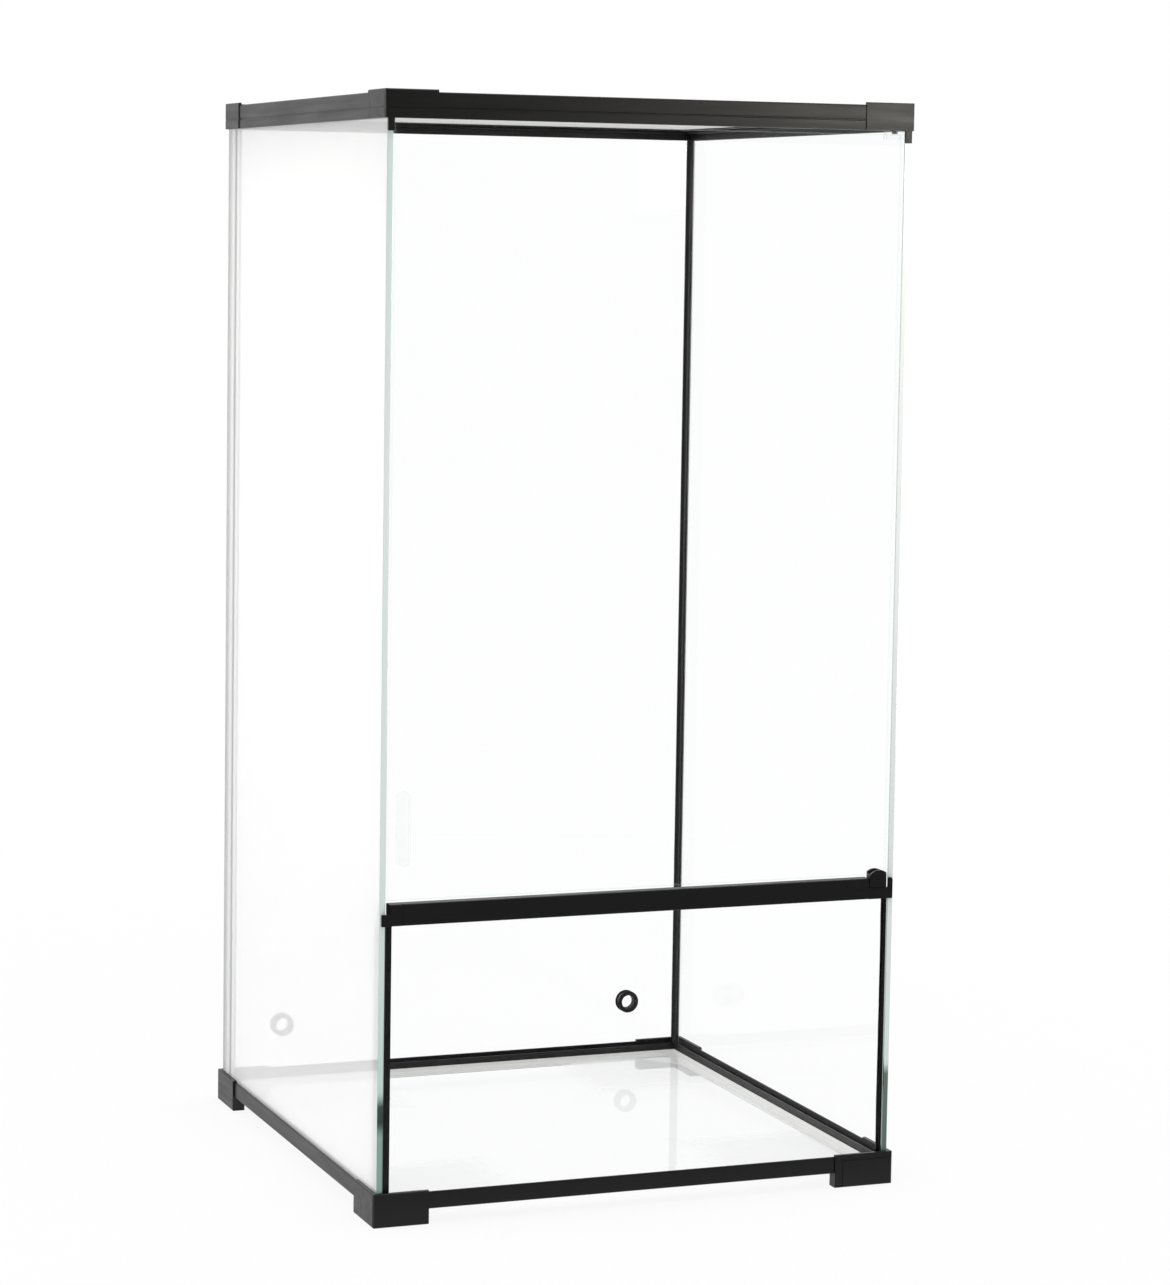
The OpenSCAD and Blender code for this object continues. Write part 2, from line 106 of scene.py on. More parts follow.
# %% One function for nodes
def add_node(tree, kind, settings=None, inputs=None):
    """A node with its settings. Each input is a plain value or the output of an earlier node."""
    node = tree.nodes.new(kind)
    for name, value in (settings or {}).items():
        setattr(node, name, value)
    for name, value in (inputs or {}).items():
        if isinstance(value, bpy.types.NodeSocket):
            tree.links.new(value, node.inputs[name])
        else:
            node.inputs[name].default_value = value
    return node


def new_material(name):
    """An empty material, its tree and its output node."""
    material = bpy.data.materials.new(name)
    material.use_nodes = True
    material.node_tree.nodes.clear()
    print("finish:", name)
    return material, material.node_tree, add_node(material.node_tree, "ShaderNodeOutputMaterial")


# %% [markdown]
# A recipe uses the same few steps again and again: where a point lies, a sum, a value moved to
# other bounds, a shader, two shaders mixed. Each gets a short function that returns an output,
# ready for the next step. The Map Range node is used with its clamp on, so a value never leaves
# its new bounds.

# %% Steps of a recipe
def object_place(tree):
    """Where a point lies on its piece, in metres."""
    return add_node(tree, "ShaderNodeTexCoord").outputs["Object"]


def along_axis(tree, vector, axis):
    """One of the three numbers of a vector, "X", "Y" or "Z"."""
    return add_node(tree, "ShaderNodeSeparateXYZ", None, {0: vector}).outputs[axis]


def calculate(tree, operation, *values):
    """The result of one operation of the Math node."""
    inputs = dict(enumerate(values))
    return add_node(tree, "ShaderNodeMath", {"operation": operation}, inputs).outputs[0]


def remap(tree, value, bounds, new_bounds, curve="LINEAR"):
    """A value moved from one pair of bounds to another, and kept between them."""
    return add_node(tree, "ShaderNodeMapRange", {"interpolation_type": curve},
                    {"Value": value, "From Min": bounds[0], "From Max": bounds[1],
                     "To Min": new_bounds[0], "To Max": new_bounds[1]}).outputs[0]


def shader(tree, kind, **inputs):
    """A shader node's output; an underscore in an input's name stands for a space."""
    inputs = {name.replace("_", " "): value for name, value in inputs.items()}
    return add_node(tree, "ShaderNodeBsdf" + kind, None, inputs).outputs[0]


def mix_shaders(tree, share, first, second):
    """The first shader, with a share of the second."""
    return add_node(tree, "ShaderNodeMixShader", None, {0: share, 1: first, 2: second}).outputs[0]


print("steps:", [step.__name__ for step in (object_place, along_axis, calculate, remap, shader,
                                            mix_shaders)])

# %% [markdown]
# The studio is a white sweep at the back and a dimmer room in front. A white floor lit like the
# object would look grey, and more light would burn out the object. So the floor and the world
# show plain white to the camera and through glass, while they light the object at a plain level.
# A mirror that looks backwards sees them white too, and one that looks into the room, on the
# camera's side, sees them dimmer. That is what keeps the front of the black frame black, while
# its left side, which mirrors the bright sweep, turns grey. First comes the world, which is the
# walls.

# %% Studio: world
ROOM_GLOSS = {"walls": 0.12, "floor": 0.30}
WALLS_TURN = (-0.55, 0.3)  # from room to sweep, by how far a direction points backwards
WORLD_LIGHT = 0.62


def sweep_share(tree, backwards, turn, room_gloss):
    """1 for the camera and through glass. In mirrors it rises from the room's level to 1."""
    path = add_node(tree, "ShaderNodeLightPath").outputs
    direct = calculate(tree, "MAXIMUM", path["Is Camera Ray"], path["Is Transmission Ray"])
    room = remap(tree, backwards, turn, (room_gloss, 1.0), "SMOOTHSTEP")
    mirrored = calculate(tree, "MULTIPLY", path["Is Glossy Ray"], room)
    return calculate(tree, "MAXIMUM", direct, mirrored)


world = bpy.data.worlds.new("white_sweep")
bpy.context.scene.world = world
world.use_nodes = True
tree = world.node_tree
tree.nodes.clear()
direction = add_node(tree, "ShaderNodeTexCoord").outputs["Generated"]
share = sweep_share(tree, along_axis(tree, direction, "Y"), WALLS_TURN, ROOM_GLOSS["walls"])
path = add_node(tree, "ShaderNodeLightPath").outputs
plain_light = calculate(tree, "MULTIPLY", path["Is Diffuse Ray"], WORLD_LIGHT)
strength = calculate(tree, "MAXIMUM", share, plain_light)
sky = add_node(tree, "ShaderNodeBackground", None,
               {"Color": paint("#ffffff"), "Strength": strength})
add_node(tree, "ShaderNodeOutputWorld", None, {"Surface": sky.outputs[0]})
print("light of the world on the object:", WORLD_LIGHT)

# %% [markdown]
# The floor is a sheet of white paper. Near the object the camera sees a tenth of the paper's own
# shading, so the shadow stays, and none of it further out, so that the floor runs into the wall
# without an edge. Mirrors see hardly any of that shading, only the level of the room or the
# sweep.

# %% Studio: floor
FLOOR_SIZE = 16
FLOOR_TURN = (-0.4, -0.15)  # from room to sweep, in metres along Y
SHADOW_REACH, FLOOR_GLOW = (0.3, 1.6), (0.9, 1.0)

bpy.ops.object.select_all(action="DESELECT")
bpy.ops.mesh.primitive_plane_add(size=FLOOR_SIZE)
floor = bpy.context.object
floor.name = "studio_floor"
sweep, tree, output = new_material("white paper sweep")
place = object_place(tree)
distance = add_node(tree, "ShaderNodeVectorMath", {"operation": "LENGTH"}, {0: place})
fade = remap(tree, distance.outputs["Value"], SHADOW_REACH, FLOOR_GLOW, "SMOOTHSTEP")
level = sweep_share(tree, along_axis(tree, place, "Y"), FLOOR_TURN, ROOM_GLOSS["floor"])
path = add_node(tree, "ShaderNodeLightPath").outputs
seen = calculate(tree, "MAXIMUM", level, path["Is Glossy Ray"])
share = calculate(tree, "MULTIPLY", seen, fade)
paper = shader(tree, "Diffuse", Color=paint("#f4f4f4"))
glow = add_node(tree, "ShaderNodeEmission", None, {"Color": paint("#ffffff"), "Strength": level})
both = mix_shaders(tree, share, paper, glow.outputs[0])
tree.links.new(both, output.inputs["Surface"])
floor.data.materials.append(sweep)
print("floor:", FLOOR_SIZE, "m wide")

# %% [markdown]
# Soft lamps stand round the object. The two at the sides and the one overhead bring a white
# surface to about white. A small warm one hangs in front of the top right corner: the photograph
# shows its sheen on the right end of the top rail. A honeycomb narrows its beam to 40 degrees, so
# that it lights little else.

# %% Studio: lamps
def softbox(name, place, aim, width, height, power, colour=(1, 1, 1), beam=180):
    """A lamp with its size in metres, its power in watts and its beam in degrees."""
    bpy.ops.object.select_all(action="DESELECT")
    bpy.ops.object.light_add(type="AREA", location=place)
    lamp = bpy.context.object
    lamp.name = name
    lamp.data.shape = "RECTANGLE"
    lamp.data.size, lamp.data.size_y = width, height
    lamp.data.energy = power
    lamp.data.color = colour
    lamp.data.spread = radians(beam)
    lamp.visible_camera = False
    lamp.rotation_mode = "QUATERNION"
    lamp.rotation_quaternion = (Vector(aim) - Vector(place)).to_track_quat("-Z", "Y")
    print(name, power, "W")


softbox("softbox_left", (-2.6, 0.2, 0.7), (0, 0, 0.5), 1.6, 2.0, 34)
softbox("softbox_right", (2.6, 0.4, 0.7), (0, 0, 0.5), 1.6, 2.0, 30)
softbox("softbox_overhead", (0, -0.3, 2.8), (0, 0, 0), 2.4, 2.4, 26)
softbox("warm_lamp", (1.02, -1.40, 0.95), (0.27, -0.23, 0.89), 0.35, 0.25, 0.5,
        (1.0, 0.97, 0.88), beam=40)

# %% [markdown]
# ## Finishes
# The frame is black ABS, injection moulded in a spark-eroded tool. That gives the eye a black
# satin skin: dark when looked at squarely, grey at a glancing angle, with a fine grain and faint
# flow marks along each moulding. The grain of the real tool is near 0.1 mm, too fine to show in
# the picture, so it is drawn at about 1 mm.

# %% Black moulded ABS
GRAIN, FLOW_WIDTH, FLOW_LENGTH = mm(1.1), mm(6), mm(90)


def noise(tree, place, size, detail=2.0, roughness=0.5):
    """A cloudy pattern whose patches have about the given size, in metres."""
    return add_node(tree, "ShaderNodeTexNoise", None,
                    {"Vector": place, "Scale": 1 / size, "Detail": detail,
                     "Roughness": roughness}).outputs["Fac"]


def mix_colours(tree, share, first, second):
    """The first colour, with a share of the second."""
    return add_node(tree, "ShaderNodeMix", {"data_type": "RGBA"},
                    {0: share, 6: first, 7: second}).outputs[2]


def moulded_abs(name, colour, along):
    """Black ABS whose flow marks run along the given axis, 0 for X, 1 for Y, 2 for Z."""
    material, tree, output = new_material(name)
    place = object_place(tree)
    stretch = [1 / FLOW_WIDTH] * 3
    stretch[along] = 1 / FLOW_LENGTH
    flow_place = add_node(tree, "ShaderNodeMapping", None, {"Vector": place, "Scale": stretch})
    flow = noise(tree, flow_place.outputs[0], 1.0, detail=3.0, roughness=0.55)
    grain = noise(tree, place, GRAIN, roughness=0.6)
    shade = mix_colours(tree, flow, paint(colour), shaded(colour, 1.7))
    satin = remap(tree, flow, (0.3, 0.7), (0.34, 0.46))
    skin = add_node(tree, "ShaderNodeBump", None,
                    {"Strength": 0.4, "Distance": mm(0.06), "Height": grain})
    plastic = shader(tree, "Principled", Base_Color=shade, Roughness=satin,
                     Specular_IOR_Level=0.34, Normal=skin.outputs[0])
    tree.links.new(plastic, output.inputs["Surface"])
    return material


# The mouldings across the front and back are painted a shade darker than the sides, #101010 against
# #141414, which keeps their front faces dark.
abs_along_x_painted_darker = moulded_abs("black ABS, flow marks across the front, painted darker", "#101010", 0)
abs_along_y = moulded_abs("black ABS, flow marks along the sides", "#141414", 1)
print("ABS grain drawn at", GRAIN * 1000, "mm")

# %% [markdown]
# The sill is a length of channel with a short end piece, both sawn off a long extrusion. A sawn
# end is rough and quite matt: it stays black even where the skin beside it shines. Fine saw marks
# run across it, 0.8 mm apart.

# %% Sawn ends
sawn_end, tree, output = new_material("black ABS, sawn end")
saw_marks = noise(tree, object_place(tree), mm(0.8), detail=1.0)
tone = mix_colours(tree, saw_marks, paint("#141414"), paint("#202020"))
matt = shader(tree, "Diffuse", Color=tone, Roughness=0.6)
tree.links.new(matt, output.inputs["Surface"])

# %% [markdown]
# Float glass is nearly colourless when seen through its face, and green when seen through its
# edge, because the light then travels a long way inside. Real refraction would only shift the
# view behind a 5 mm pane by a fraction of a millimetre, so a clear film stands for the inside. At
# a glancing angle the face mirrors the room. Schlick's rule gives 4 percent head on and more with
# the fifth power of the angle. The photograph shows fainter reflections than that, so the share
# here starts at 0.4 percent and takes the eighth power.
# A pane is never quite clean. Head on its thin film of dust is invisible, but along a glancing line
# of sight it adds up to a white haze. The photograph shows that on the left pane: what lies behind
# it is nearly gone, though it is clear glass. So the side panes get a second finish, in which a lit
# white haze comes up at a glance: partly that dust, and partly a painted reflection of the bright
# sweep. It is painted thicker along the back edge, as painted light over the dark edge and the
# black silicone behind the pane there.

# %% Glass faces
MIRROR_HEAD_ON, MIRROR_POWER = 0.004, 8.0
# The white of the haze is partly dust and partly a painted reflection of the bright sweep.
CLEAR_FILM, DUST_AND_SHEEN = (0.9985, 1.0, 0.9995, 1.0), paint("#f0f0f0")
HAZE_TURN = (0.61, 0.68)  # from clear to hazed, in the units of turned_away
BACK_BORDER = (mm(202), mm(208))  # from the middle's haze to the back edge's, along Y


def turned_away(tree):
    """0 where a face looks straight at the viewer, 1 where it is seen edge-on."""
    return add_node(tree, "ShaderNodeLayerWeight", None, {"Blend": 0.5}).outputs["Facing"]


def glass_face(name, haze=None):
    """Polished glass: a clear film and a mirror share that grows with the angle. The haze, partly
    dust and partly a painted reflection, if there is one, is given as its share in the middle of
    the pane and near the back edge."""
    material, tree, output = new_material(name)
    angle = turned_away(tree)
    curve = calculate(tree, "POWER", angle, MIRROR_POWER)
    mirror_share = remap(tree, curve, (0.0, 1.0), (MIRROR_HEAD_ON, 1.0))
    film = shader(tree, "Transparent", Color=CLEAR_FILM)
    mirror = shader(tree, "Glossy", Color=paint("#ffffff"), Roughness=0.02)
    pane = mix_shaders(tree, mirror_share, film, mirror)
    if haze:
        most_haze = remap(tree, along_axis(tree, object_place(tree), "Y"), BACK_BORDER, haze)
        haze_share = remap(tree, angle, HAZE_TURN, (0.0, most_haze), "SMOOTHSTEP")
        white_veil = mix_shaders(tree, 0.5, shader(tree, "Diffuse", Color=DUST_AND_SHEEN),
                           shader(tree, "Translucent", Color=DUST_AND_SHEEN))
        pane = mix_shaders(tree, haze_share, pane, white_veil)
    tree.links.new(pane, output.inputs["Surface"])
    return material


clear_face = glass_face("float glass, polished face")
# This haze is partly dust and partly painted sheen. Its larger share near the back edge is painted
# light over the dark edge and silicone behind the pane.
face_with_dust_and_sheen = glass_face("float glass, polished face with a thin haze", haze=(0.47, 0.78))

# %% [markdown]
# The edges were ground and polished. Their colours are painted light and shade. A pale sea green
# stands for the light that an edge gathers from the whole pane, and near the foot of the tank a
# dark bottle green is a painted reflection of the black base rails. The photograph shows where that
# starts, 100 mm above the floor, and that the right edge stays dark below it, while the left one is
# lighter again nearest the foot. So each edge has its own ramp of colours over the height. The back
# edges stand in black silicone and are painted grey for it. The arris, the narrow ground slope
# beside each edge, turns away from the viewer and is painted darker: a shaded copy of the left
# edge's ramp.

# %% Glass edges
# Painted light and shade over the height: a pale glow above, a dark painted reflection of the base
# rails near the foot, painted grey beside the silicone.
LEFT_EDGE_PAINTED_LIGHT = [(0.0, "#8fb0a5"), (0.080, "#8fb0a5"), (0.088, "#2f4740"), (0.102, "#3a554d"),
             (0.112, "#cce6dd"), (0.240, "#e2f1eb"), (0.300, "#ebf6f2"), (0.600, "#eff8f5"),
             (0.900, "#d8e8e4")]
RIGHT_EDGE_PAINTED_LIGHT = [(0.0, "#5f736c"), (0.098, "#66796f"), (0.106, "#e4f0eb"), (0.300, "#f1f9f6"),
              (0.550, "#f7fcfa"), (0.900, "#e6ecea")]
BACK_EDGE_PAINTED_SHADE = [(0.0, "#c0c3c2"), (0.9, "#c3c6c5")]
GLASS_IOR = 1.52


def edge_finish(name, colours, shade=1.0):
    """Ground glass whose painted colour changes over the height, given as pairs of metres above the
    floor and a colour. The colours paint the light and shade seen in the edge, and the shade factor
    paints them all darker."""
    material, tree, output = new_material(name)
    place = object_place(tree)
    drift = noise(tree, place, mm(45), detail=1.0)
    height = calculate(tree, "MULTIPLY_ADD", drift, mm(10), along_axis(tree, place, "Z"))
    ramp = add_node(tree, "ShaderNodeValToRGB", None, {"Fac": height})
    stops = ramp.color_ramp.elements
    while len(stops) < len(colours):
        stops.new(0.5)
    for stop, (at, colour) in zip(stops, colours):
        stop.position = at
        stop.color = shaded(colour, shade)
    ground = shader(tree, "Principled", Base_Color=ramp.outputs["Color"], Roughness=0.16,
                    IOR=GLASS_IOR)
    tree.links.new(ground, output.inputs["Surface"])
    return material


left_edge_painted_light = edge_finish("float glass, polished edge on the left", LEFT_EDGE_PAINTED_LIGHT)
right_edge_painted_light = edge_finish("float glass, polished edge on the right", RIGHT_EDGE_PAINTED_LIGHT)
glass_edge_back = edge_finish("float glass, polished edge beside black silicone", BACK_EDGE_PAINTED_SHADE)
# The arris takes the left edge's ramp painted darker, at 0.75 of its light: painted shade.
arris_painted_shade = edge_finish("float glass, ground arris, painted darker", LEFT_EDGE_PAINTED_LIGHT, 0.75)

# %% [markdown]
# The door's edges don't show in the photograph, because they stand in front of bright
# surroundings on all sides. Their finish is nearly all clear film, with a little pale polished
# glass.

# %% Edges of the door
door_edge, tree, output = new_material("float glass, clear polished edge")
drift = noise(tree, object_place(tree), mm(30), detail=1.0)
glow = mix_colours(tree, drift, paint("#e6f3f1"), paint("#f4fbfa"))
film = shader(tree, "Transparent", Color=paint("#fbfefe"))
polished = shader(tree, "Principled", Base_Color=glow, Roughness=0.1, IOR=GLASS_IOR)
tree.links.new(mix_shaders(tree, 0.1, film, polished), output.inputs["Surface"])

# %% [markdown]
# Aquarium silicone is black, soft and slightly glossy, with a skin that was drawn smooth by a
# finger. The grommets are a duller moulded rubber. Both are dark enough that only their sheen
# shows their shape.

# %% Silicone and rubber
def soft_black(name, colour, roughness, dimple):
    """Black rubber with shallow dimples of a size in millimetres."""
    material, tree, output = new_material(name)
    waves = noise(tree, object_place(tree), mm(dimple))
    shade = mix_colours(tree, waves, paint(colour), shaded(colour, 1.6))
    skin = add_node(tree, "ShaderNodeBump", None,
                    {"Strength": 0.3, "Distance": mm(0.2), "Height": waves})
    rubber = shader(tree, "Principled", Base_Color=shade, Roughness=roughness,
                    Specular_IOR_Level=0.3, Normal=skin.outputs[0])
    tree.links.new(rubber, output.inputs["Surface"])
    return material


silicone = soft_black("black aquarium silicone, tooled", "#141414", 0.38, 7)
moulded_rubber = soft_black("black moulded rubber", "#161616", 0.55, 2)

# %% [markdown]
# The floor pane lies in white silicone, which is pressed flat under the glass and squeezed up
# along its edge. So neither the black ledge below it nor the foot of the black wall beside it
# shows through the pane.

# %% Bedding silicone
bed, tree, output = new_material("white bedding silicone, pressed flat under glass")
smear = noise(tree, object_place(tree), mm(14))
tone = mix_colours(tree, smear, paint("#f6f6f4"), paint("#fdfdfb"))
rubber = shader(tree, "Principled", Base_Color=tone, Roughness=0.4)
tree.links.new(rubber, output.inputs["Surface"])

# %% [markdown]
# Under the floor pane a white veil is drawn in the corners, over the feet. It veils the feet, which
# would show black through the glass. The share of the veil grows where a point is far out both in X
# and in Y.

# %% Underside of the floor pane
CORNER_TURN = (mm(75), mm(125))  # from clear to veiled, along X and Y
CORNER_VEIL = 0.65

# A diffuse white share that grows towards the corners and lightens the feet seen through the glass.
underside, tree, output = new_material("float glass, veiled white in the corners")
far_out = add_node(tree, "ShaderNodeVectorMath", {"operation": "ABSOLUTE"},
                   {0: object_place(tree)}).outputs[0]
in_corner = calculate(tree, "MINIMUM", along_axis(tree, far_out, "X"),
                      along_axis(tree, far_out, "Y"))
veil_share = remap(tree, in_corner, CORNER_TURN, (0.0, CORNER_VEIL), "SMOOTHSTEP")
film = shader(tree, "Transparent", Color=CLEAR_FILM)
white_veil = shader(tree, "Diffuse", Color=paint("#fafafa"))
tree.links.new(mix_shaders(tree, veil_share, film, white_veil), output.inputs["Surface"])

# %% [markdown]
# The screen is woven aluminium wire. Drawn wire is bright along its length, with a thin grey
# oxide. The pull and the upper hinge shoe are clear polycarbonate: thin, faintly blue, and seen
# mostly by their edges.

# %% Wire and clear plastic
wire_metal, tree, output = new_material("drawn aluminium wire, oxidised")
oxide = noise(tree, object_place(tree), mm(12))
tone = mix_colours(tree, oxide, paint("#cfcfcc"), paint("#dfdfdc"))
metal = shader(tree, "Principled", Base_Color=tone, Metallic=0.3, Roughness=0.42)
tree.links.new(metal, output.inputs["Surface"])

clear_plastic, tree, output = new_material("clear polycarbonate, moulded")
swirl = noise(tree, object_place(tree), mm(8))
body_share = remap(tree, turned_away(tree), (0.0, 1.0), (0.02, 0.3))
satin = remap(tree, swirl, (0.0, 1.0), (0.05, 0.12))
film = shader(tree, "Transparent", Color=(0.99, 0.997, 0.997, 1.0))
body = shader(tree, "Principled", Base_Color=paint("#eef5f5"), Roughness=satin, IOR=1.58)
tree.links.new(mix_shaders(tree, body_share, film, body), output.inputs["Surface"])

# %% [markdown]
# ## Tools of the workshop
# An operator acts on everything that is selected, so each step starts by selecting nothing. A
# block is a cube at its size and place. Faces are picked in code by their normal or place, as a
# hand would click them.

# %% Helpers for modelling
def select_only(piece):
    """Makes a piece the only selected one, and the active one."""
    bpy.ops.object.select_all(action="DESELECT")
    piece.select_set(True)
    bpy.context.view_layer.objects.active = piece


def block(name, low, high):
    """A box between two corners, its object at the origin."""
    bpy.ops.object.select_all(action="DESELECT")
    low, high = Vector(low), Vector(high)
    bpy.ops.mesh.primitive_cube_add(size=1, location=(low + high) / 2, scale=high - low)
    piece = bpy.context.object
    piece.name = piece.data.name = name
    bpy.ops.object.transform_apply(location=True, rotation=True, scale=True)
    return piece


def pick_faces(piece, wanted):
    """Selects the faces for which wanted(face) is true, ready for edit mode."""
    select_only(piece)
    bpy.ops.object.mode_set(mode="EDIT")
    bpy.ops.mesh.select_mode(type="FACE")
    bpy.ops.mesh.select_all(action="DESELECT")
    bpy.ops.object.mode_set(mode="OBJECT")
    for face in piece.data.polygons:
        face.select = wanted(face)


def apply_modifier(piece, kind, **settings):
    """Adds a modifier with its settings and applies it to the mesh."""
    select_only(piece)
    modifier = piece.modifiers.new(kind.lower(), kind)
    for name, value in settings.items():
        setattr(modifier, name, value)
    bpy.ops.object.modifier_apply(modifier=modifier.name)


def dress(piece, body, slot, *nodes):
    """The piece moves with a body and stands for CAD nodes, which are hidden. The slot is not used.
    """
    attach(piece, body)
    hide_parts(*nodes)


# %% [markdown]
# ## Panes
# Each pane is a plate of glass whose sharp edges were ground off to an arris of 0.6 mm, so that
# nobody is cut. A block gets that arris with the bevel operator. Its two big faces take the clear
# film and all the rest takes an edge finish. The faces stay flat shaded, because a pane must
# mirror without any waves. The front and back panes stand between the side panes, so their
# upright ends are buried in black silicone.

# %% Six panes
ARRIS, BED = mm(0.6), mm(0.3)
FLAT = 0.99  # a normal that points this far along an axis belongs to a main face


def glass_pane(node, finish_for):
    """A pane with ground edges; finish_for(normal) gives the finish of a face."""
    low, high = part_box(node)
    if node == "floor_glass":
        low.z += BED
    pane = block(node + "_pane", low, high)
    bpy.ops.object.mode_set(mode="EDIT")
    bpy.ops.mesh.select_all(action="SELECT")
    bpy.ops.mesh.bevel(offset=ARRIS, segments=1, affect="EDGES")
    bpy.ops.object.mode_set(mode="OBJECT")
    for face in pane.data.polygons:
        finish = finish_for(face.normal)
        if finish.name not in pane.data.materials:
            pane.data.materials.append(finish)
        face.material_index = pane.data.materials.find(finish.name)
    return pane


def side_finish(front_finish):
    """Finishes of a side pane: its faces, back edge, front edge and the arris beside that."""
    return lambda n: (face_with_dust_and_sheen if abs(n.x) > FLAT else glass_edge_back if n.y > 0.3
                      else front_finish if abs(n.x) < 0.1 else arris_painted_shade)


def middle_finish(n):
    """Finishes of a pane between the side panes: its faces, ends in silicone, other edges."""
    return clear_face if abs(n.y) > FLAT else silicone if abs(n.x) > 0.3 else glass_edge_back


PANES = {"side_glass_left": (side_finish(left_edge_painted_light), "tank"),
         "side_glass_right": (side_finish(right_edge_painted_light), "tank"),
         "back_glass": (middle_finish, "tank"), "front_lower_glass": (middle_finish, "tank"),
         "floor_glass": (lambda n: clear_face if abs(n.z) > FLAT else bed, "tank"),
         "door_glass": (lambda n: clear_face if abs(n.y) > FLAT else door_edge, "door")}
panes = {}
for node, (finish_for, body) in PANES.items():
    panes[node] = glass_pane(node, finish_for)
    dress(panes[node], body, "clear_glass", node)
    print(node, [round(side * 1000, 1) for side in panes[node].dimensions], "mm")

# %% [markdown]
# The floor pane lies 0.3 mm above its ledge, on silicone. Its underside is inset by the width of
# the ledge. The rim that this makes takes the white of the silicone, and the rest takes the finish
# with the white veil in the corners.

# %% Bed of the floor pane
LEDGE_WIDTH = mm(10)

pane = panes["floor_glass"]
pane.data.materials.append(underside)
bed_index = pane.data.materials.find(bed.name)
underside_index = pane.data.materials.find(underside.name)
pick_faces(pane, lambda face: face.normal.z < -FLAT)
bpy.ops.object.mode_set(mode="EDIT")
bpy.ops.mesh.inset(thickness=LEDGE_WIDTH)
bpy.ops.object.mode_set(mode="OBJECT")
for face in pane.data.polygons:
    if face.normal.z < -FLAT:
        face.material_index = underside_index if face.select else bed_index
in_silicone = [face for face in pane.data.polygons if face.material_index == bed_index]
print("faces of the floor pane in silicone:", len(in_silicone))

# %% [markdown]
# The back pane has two holes, drilled with a diamond core before assembly. A cylinder for each
# hole is taken away with a Boolean modifier, which cuts the wall of the hole cleanly through both
# faces.

# %% Holes in the back pane
HOLE_RADIUS, DRILL_LENGTH = mm(8.35), mm(20)

back = panes["back_glass"]
for node in ("port_grommet_left", "port_grommet_right"):
    low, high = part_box(node)
    bpy.ops.object.select_all(action="DESELECT")
    bpy.ops.mesh.primitive_cylinder_add(vertices=64, radius=HOLE_RADIUS, depth=DRILL_LENGTH,
                                        location=(low + high) / 2, rotation=(radians(90), 0, 0))
    drill = bpy.context.object
    bpy.ops.object.transform_apply(location=True, rotation=True, scale=True)
    drill.data.materials.append(glass_edge_back)
    apply_modifier(back, "BOOLEAN", object=drill, operation="DIFFERENCE", solver="EXACT",
                   material_mode="TRANSFER")
    bpy.data.objects.remove(drill)
print("back pane faces:", len(back.data.polygons))

# %% [markdown]
# ## Mouldings
# The rails, feet, corners, sill and hinge pieces already have their true shapes in the CAD model,
# and a mould maker would only break their sharp edges. A copy of each solid is merged, its flat
# triangles are dissolved into whole faces, and a Bevel modifier rounds every edge sharper than 30
# degrees. Weighted normals then keep the broad faces flat, so that highlights sit on the edges
# alone.

# %% Soft-edged copies
MERGE_DISTANCE, SMOOTH_ANGLE = mm(0.002), radians(40)


def cad_copy(node, name, finish):
    """A copy of a CAD solid, its double points merged, ready in edit mode."""
    piece = bpy.data.objects.new(name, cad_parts[node].data.copy())
    bpy.context.collection.objects.link(piece)
    piece.data.materials.clear()
    piece.data.materials.append(finish)
    select_only(piece)
    bpy.ops.object.mode_set(mode="EDIT")
    bpy.ops.mesh.select_all(action="SELECT")
    bpy.ops.mesh.remove_doubles(threshold=MERGE_DISTANCE)
    return piece


def soft_copy(node, name, radius, finish):
    """A copy of a CAD solid with every sharp edge rounded to the radius, in millimetres."""
    piece = cad_copy(node, name, finish)
    bpy.ops.mesh.dissolve_limited(angle_limit=radians(0.5))
    bpy.ops.object.mode_set(mode="OBJECT")
    apply_modifier(piece, "BEVEL", width=mm(radius), segments=2, limit_method="ANGLE",
                   angle_limit=radians(30), use_clamp_overlap=True)
    bpy.ops.object.shade_smooth_by_angle(angle=SMOOTH_ANGLE)
    apply_modifier(piece, "WEIGHTED_NORMAL", keep_sharp=True)
    return piece


print("sharp edges are rounded where they turn more than 30 degrees")

# %% [markdown]
# Some faces of a moulding take another finish. The inner edge of the ledge under the floor pane
# is smeared with the white silicone of the bed, and the ends of the sill are sawn. Such faces are
# found by where they lie or where they look.

# %% Faces with another finish
LEDGE_HEIGHTS = (mm(12.4), mm(14.05))  # the ledge's edge lies between these
LEDGE_INSET = mm(8)  # and at least this far inside the floor pane's rim


def refinish(piece, finish, wanted):
    """Gives another finish to the faces for which wanted(face) is true."""
    piece.data.materials.append(finish)
    faces = [face for face in piece.data.polygons if wanted(face)]
    for face in faces:
        face.material_index = len(piece.data.materials) - 1
    print(piece.name, len(faces), "faces in", finish.name)


def on_ledge_edge(face):
    """True for the inner edge of the ledge under the floor pane."""
    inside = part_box("floor_glass")[1].x - LEDGE_INSET
    far_out = max(abs(face.center.x), abs(face.center.y))
    return LEDGE_HEIGHTS[0] < face.center.z < LEDGE_HEIGHTS[1] and far_out < inside


print("the ledge's edge lies between", LEDGE_HEIGHTS, "m")

# %% [markdown]
# The table gives each moulding its edge radius in millimetres and its finish. The flow marks run
# along each rail. Corners and feet at the front take those of the front rails, and the others
# those of the side rails.

